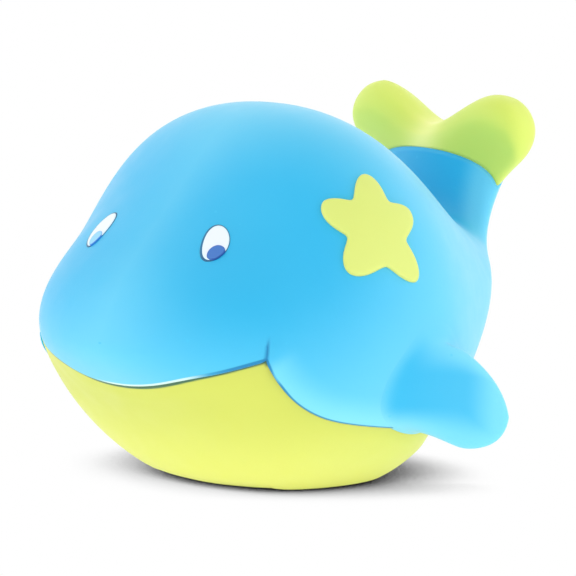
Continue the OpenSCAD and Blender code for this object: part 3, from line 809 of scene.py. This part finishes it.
# Rings of the lobes between their underside and the ridge, as shares of the climb
DOME_SHARES = (0.1, 0.35, 0.6, 0.82)
# Strength of the painted highlight in the saddle between the lobes, and the saddle's half width
SADDLE_HIGHLIGHT = 0.9
SADDLE_WIDTH = 4.5
tail_middle = (skin(1.0, 90.0) + skin(1.0, -90.0)) / 2


def fluke_dome(f, a, swell=1.1):
    """Points of the lobes: f runs round them and a climbs from their underside to the ridge."""
    c = np.sqrt((cos(f) + FLUKE_SKEW) ** 2 + 0.015)
    ridge = tail_middle[2] + FLUKE_NOTCH + FLUKE_RISE * mix(ease(c), sin(90 * c), 0.5)
    waisted = np.abs(sin(f)) ** 0.75 * (1 - 0.28 * sin(f) ** 6)
    front = np.where(sin(f) > 0, 1, -1.1) * waisted * np.maximum(swell * cos(a), 0) ** 0.75
    x = cos(f) * mix(FLUKE_TOPS / 2, FLUKE_SPAN / 2, swell * cos(a))
    y = tail_middle[1] - FLUKE_SET - front * FLUKE_DEPTH / 2
    z = ridge + FLUKE_HEIGHT / 2 * (np.minimum(1, swell * sin(a)) - 1) - tail_middle[2]
    return np.stack([
        x * cos(FLUKE_ROLL) + z * sin(FLUKE_ROLL), y,
        tail_middle[2] + z * cos(FLUKE_ROLL) - x * sin(FLUKE_ROLL)], -1)


def flukes():
    f = np.linspace(0, 360, FLUKE_COLUMNS, endpoint=False)
    rim = tail_edge(f)
    low = mix(-70, 40, off_side(f) ** 0.7)
    dome = [fluke_dome(f, mix(low, 90, k)) for k in DOME_SHARES]
    control = np.array([
        skin(rim, f), mix(skin(rim + 0.008, f), dome[0], 0.4), *dome, fluke_dome(f, 90.0 + 0 * f, 1)])
    lobes = spline(control, np.linspace(0, 1, FLUKE_ROWS))
    step = PLUG_LENGTH / np.linalg.norm(along(np.array(TAIL_END[0]), np.array(0.0)))
    far = rim - step
    middle = (skin(far, 90.0) + skin(far, -90.0)) / 2
    plug = [mix(middle, skin(far, f), PLUG_SHARE), skin(rim, f, -WALL - 0.2)]
    foot = plug[0] * 0 + plug[0].mean(0)
    rings = np.concatenate([[foot], plug, lobes])
    loose = np.arange(len(rings)) > 3
    ids = closed_grid(*rings.shape[:2])
    ids[0] = ids[0, 0]
    # The front and the back of the last ring meet along the ridge.
    j = np.arange(FLUKE_COLUMNS + 1)
    ids[-1] = ids[-1][np.minimum(j, FLUKE_COLUMNS - j)]
    faces = sheet(ids)
    points = relaxed(rings.reshape(-1, 3), faces, np.repeat(loose, FLUKE_COLUMNS), RELAX_ROUNDS)
    # Painted highlight: paler in the saddle between the lobes.
    thin = SADDLE_HIGHLIGHT * np.exp(-(points[:, 0] / SADDLE_WIDTH) ** 2)
    return make_piece(
        "heart_flukes", points, faces, body="upper_skin", slot="vinyl_lime", material=FLUKE_VINYL,
        nodes=["tail_flukes"], shades={"thin": thin})


flukes()


# Star on the left flank

STAR_COLUMNS = 220
# Rounded edge and gently crowned top: share of the outline's radius, and height
STAR_STEPS = [
    (0, -0.5), (1.0, -0.5), (1.01, 0.0), (1.008, 0.3), (0.997, 0.52), (0.978, 0.7), (0.95, 0.82),
    (0.91, 0.89), (0.85, 0.93), (0.7, 0.97), (0.5, 1.0), (0.25, 1.0), (0, 1.0)]


def star_radius(a):
    turns = sorted(STAR_TIPS + STAR_DIPS)
    turns = np.array(turns + [(turns[0][0] + 360, turns[0][1])])
    i = np.clip(np.searchsorted(turns[:, 0], a, side="right") - 1, 0, len(turns) - 2)
    return mix(turns[i, 1], turns[i + 1, 1], ease((a - turns[i, 0]) / (turns[i + 1, 0] - turns[i, 0])))


def star():
    a = np.linspace(0, 360, STAR_COLUMNS, endpoint=False)
    r = star_radius(a)
    rings = [
        on_skin(STAR_PLACE, k * r * cos(a), k * r * sin(a), h * STAR_RELIEF + 0 * a)
        for k, h in STAR_STEPS]
    return ring_piece(
        "flank_star", rings, body="upper_skin", slot="vinyl_star", material=STAR_VINYL, nodes=["star_patch"])


star()


# Eyes: three layers of print, each laid on the last

EYE_COLUMNS = 96
EYE_STEPS = [0, 0.3, 0.6, 0.75, 0.82, 0.88, 0.93, 0.97]


def oval_reach(long, short, start, a):
    """Distance from a point inside an oval to its edge, in the direction a."""
    c = 2 * cos(a) / long
    d = 2 * sin(a) / short
    x = 2 * start[0] / long
    y = 2 * start[1] / short
    ahead = x * c + y * d
    square = c * c + d * d
    return (np.sqrt(ahead ** 2 + square * (1 - x * x - y * y)) - ahead) / square


def eye_layer(side, part, middle, reach, layer, material, slot, shade):
    a = np.linspace(0, 360, EYE_COLUMNS, endpoint=False)
    tilt = EYE_TILT[side]

    def print_ring(k, height):
        p = middle[0] + k * reach * cos(a)
        q = middle[1] + k * reach * sin(a)
        u = p * cos(tilt) - q * sin(tilt)
        v = p * sin(tilt) + q * cos(tilt)
        return on_skin(EYE_PLACE, u, v, height + 0 * a)

    shares = [0, 1, 1] + EYE_STEPS[::-1]
    heights = [-PRINT_FOOT, -PRINT_FOOT] + [PRINT * (layer + min(1, (1 - k) * 40)) for k in shares[2:]]
    rings = np.array([print_ring(k, h) for k, h in zip(shares, heights)])
    points = rings if side == "left" else mirrored(rings)
    line = np.ravel(shade(np.array(shares)[:, None]))
    return ring_piece(
        f"{side}_eye_{part}_print", points, body="upper_skin", slot=slot, material=material,
        nodes=[f"{side}_eye_{part}"], shades={"line": line})


def eye(side):
    a = np.linspace(0, 360, EYE_COLUMNS, endpoint=False)
    place = IRIS_PLACES[side]
    rim = oval_reach(EYE_LENGTH, EYE_WIDTH, (0, 0), a)
    white = oval_reach(EYE_LENGTH - 2 * EYE_RIM, EYE_WIDTH - 2 * EYE_RIM, (0, 0), a)
    iris_edge = oval_reach(EYE_LENGTH, EYE_WIDTH, place, a)
    iris = np.minimum(IRIS_WIDTH / 2, iris_edge)
    # The iris overprints the rim, and is darkest there.
    over_rim = ease((iris - iris_edge + 1.2 * EYE_RIM) / EYE_RIM)
    eye_layer(side, "edge", (0, 0), rim, 0, RIM_PRINT, "enamel_dark", lambda k: 0 * k + ease(sin(a)))
    eye_layer(
        side, "white", WHITE_SHIFT[side], white, 1, WHITE_PRINT, "enamel_white",
        lambda k: ease((k - 0.8) / 0.2) + 0 * a)
    eye_layer(
        side, "iris", place, iris, 2, IRIS_PRINTS[side], "enamel_iris",
        lambda k: np.maximum(ease((k - 0.78) / 0.12) * over_rim, 0.35 * ease((k - 0.85) / 0.1)))


for side in ("left", "right"):
    eye(side)


# Squeaker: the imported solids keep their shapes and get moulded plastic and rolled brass

def moulded(name, base, deep, rough, metal=0.0):
    made = bpy.data.materials.new(name)
    made.use_nodes = True
    tree = made.node_tree
    shader = tree.nodes["Principled BSDF"]
    place = add(tree, "ShaderNodeTexCoord").outputs["Object"]
    flow = add(tree, "ShaderNodeTexNoise", {"Vector": place, "Scale": 300.0, "Detail": 4.0}).outputs[0]
    mottled = blend_colours(tree, stretch(tree, flow, 0.35, 0.75, 0.0, 1.0), base, deep)
    tree.links.new(mottled, shader.inputs["Base Color"])
    tree.links.new(stretch(tree, flow, 0.3, 0.7, rough, rough + 0.15), shader.inputs["Roughness"])
    shader.inputs["Metallic"].default_value = metal
    return made


SQUEAKER_WHITE = moulded("squeaker_white", colour(240, 240, 236), colour(228, 229, 224), 0.35)
TUBE_GREY = moulded("tube_grey", colour(205, 208, 210), colour(190, 194, 198), 0.3)
REED_BRASS = moulded("reed_brass", colour(206, 166, 84), colour(180, 138, 66), 0.25, 1.0)
SQUEAKER_FINISHES = {
    "squeaker_cup": SQUEAKER_WHITE, "squeaker_cap": SQUEAKER_WHITE,
    "reed_tube": TUBE_GREY, "reed_clip": TUBE_GREY, "reed": REED_BRASS,
}
for name, finish in SQUEAKER_FINISHES.items():
    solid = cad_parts[name]
    solid.data.materials.clear()
    solid.data.materials.append(finish)


# Studio: white floor and backdrop, soft light

# Tent of white cloth, dim overall, with soft panels: azimuth, elevation and brightness
TENT_LEVEL = 0.15
TENT_PANELS = [
    (0, 8, 0.6), (45, 8, 0.5), (90, 8, 0.55), (135, 8, 0.7), (180, 8, 0.25), (270, 8, 0.5), (315, 8, 0.9),
    (90, 45, 0.1), (135, 45, 0.4), (180, 45, 0.25), (270, 45, 0.1), (315, 45, 0.25), (0, 90, 0.35)]
# Cosine of the angle from a panel's middle to its edge
PANEL_EDGE = 0.5
# Where the light on the floor comes from
FLOOR_LIGHT = (0.34, -0.66, 0.7)
# Shadow on the floor: how near a thing has to be to cast it, how much of the sky is open where it is
# black and where it ends, and its curve
SHADOW_REACH = 0.024
SHADOW_RANGE = (0.33, 0.68)
SHADOW_POWER = 0.6
# Light that comes up through the floor's paper
FLOOR_GLOW = 0.42


def studio_floor():
    reach = 7.5
    bend = 2.7
    radius = 1.8
    profile = [(-reach, 0.0), (bend, 0.0)]
    for a in np.linspace(0.1, math.pi / 2, 16):
        profile.append((bend + radius * math.sin(a), radius - radius * math.cos(a)))
    profile.append((bend + radius, reach))
    c = math.cos(math.radians(CAMERA_AZIMUTH))
    s = math.sin(math.radians(CAMERA_AZIMUTH))
    points = [(x * c - y * s, x * s + y * c, z) for y, z in profile for x in (-reach, reach)]
    faces = [(2 * i, 2 * i + 1, 2 * i + 3, 2 * i + 2) for i in range(len(profile) - 1)]
    mesh = bpy.data.meshes.new("studio_floor")
    mesh.from_pydata(points, [], faces)
    mesh.polygons.foreach_set("use_smooth", [True] * len(mesh.polygons))
    made = bpy.data.objects.new("studio_floor", mesh)
    bpy.context.collection.objects.link(made)
    mesh.materials.append(white_paper())


def white_paper():
    """White floor: seen directly it is white, with the soft grey shadow of what stands on it."""
    paper = bpy.data.materials.new("white_paper")
    paper.use_nodes = True
    tree = paper.node_tree
    shader = tree.nodes["Principled BSDF"]
    shader.inputs["Base Color"].default_value = (0.92, 0.92, 0.92, 1)
    shader.inputs["Roughness"].default_value = 0.9
    shader.inputs["Specular IOR Level"].default_value = 0.1
    shader.inputs["Emission Color"].default_value = (1, 1, 1, 1)
    shader.inputs["Emission Strength"].default_value = FLOOR_GLOW
    towards_light = add(tree, "ShaderNodeCombineXYZ", dict(enumerate(FLOOR_LIGHT))).outputs[0]
    open_sky = add(tree, "ShaderNodeAmbientOcclusion", {
        "Distance": SHADOW_REACH, "Normal": towards_light}, samples=12).outputs["AO"]
    lit = stretch(tree, open_sky, *SHADOW_RANGE, 0.0, 1.0)
    shade = add(tree, "ShaderNodeMath", {0: lit, 1: SHADOW_POWER}, operation="POWER").outputs[0]
    white = add(tree, "ShaderNodeEmission", {"Strength": shade})
    path = add(tree, "ShaderNodeLightPath").outputs
    seen = add(tree, "ShaderNodeMath", {
        0: path["Is Camera Ray"], 1: path["Is Glossy Ray"]}, operation="MAXIMUM").outputs[0]
    surface = add(tree, "ShaderNodeMixShader", {0: seen, 1: shader.outputs[0], 2: white.outputs[0]})
    tree.links.new(surface.outputs[0], tree.nodes["Material Output"].inputs["Surface"])
    return paper


def view_direction(azimuth, elevation):
    """Direction out from the whale: azimuth 0 is ahead of it and 90 is to its left."""
    return np.array([sin(azimuth) * cos(elevation), -cos(azimuth) * cos(elevation), sin(elevation)])


def studio_world():
    world = bpy.data.worlds.new("white_tent")
    world.use_nodes = True
    tree = world.node_tree
    tree.nodes.clear()
    direction = add(tree, "ShaderNodeTexCoord").outputs["Generated"]
    level = add(tree, "ShaderNodeValue").outputs[0]
    level.default_value = TENT_LEVEL
    for azimuth, elevation, brightness in TENT_PANELS:
        facing = add(tree, "ShaderNodeVectorMath", {
            0: direction, 1: view_direction(azimuth, elevation)}, operation="DOT_PRODUCT").outputs["Value"]
        panel = add(
            tree, "ShaderNodeMapRange", {"Value": facing, "From Min": PANEL_EDGE, "To Max": brightness},
            interpolation_type="SMOOTHSTEP").outputs[0]
        level = add(tree, "ShaderNodeMath", {0: level, 1: panel}, operation="ADD").outputs[0]
    seen = add(tree, "ShaderNodeLightPath").outputs["Is Camera Ray"]
    level = add(tree, "ShaderNodeMapRange", {"Value": seen, "To Min": level, "To Max": 1.0}).outputs[0]
    sky = add(tree, "ShaderNodeBackground", {"Color": (1, 1, 1, 1), "Strength": level})
    out = add(tree, "ShaderNodeOutputWorld")
    tree.links.new(sky.outputs[0], out.inputs["Surface"])
    bpy.context.scene.world = world


# Camera: a long lens at the photograph's angle, in a frame 576 pixels square
CAMERA_AZIMUTH = 45.6
CAMERA_ELEVATION = 7.2
CAMERA_DISTANCE = 1100
CAMERA_AIM = (0, -0.5, 40)
# Where the aim falls in the frame, right and up of its middle, in millimetres at the aim
AIM_SHIFT = (0.24, -0.8)
PIXELS_PER_MM = 4.571
FRAME_PIXELS = 576
SENSOR = 36


def camera():
    a, e = CAMERA_AZIMUTH, CAMERA_ELEVATION
    back = view_direction(a, e)
    right = np.array([cos(a), sin(a), 0])
    up = np.cross(back, right)
    aim = np.array(CAMERA_AIM) - right * AIM_SHIFT[0] - up * AIM_SHIFT[1]
    data = bpy.data.cameras.new("camera")
    data.sensor_width = SENSOR
    data.lens = PIXELS_PER_MM * CAMERA_DISTANCE * SENSOR / FRAME_PIXELS
    data.clip_end = 20
    made = bpy.data.objects.new("camera", data)
    made.location = (aim + back * CAMERA_DISTANCE) * MM
    made.rotation_euler = Vector(-back).to_track_quat("-Z", "Y").to_euler()
    bpy.context.collection.objects.link(made)
    bpy.context.scene.camera = made


camera()
studio_floor()
studio_world()
bpy.context.scene.view_settings.view_transform = "Standard"
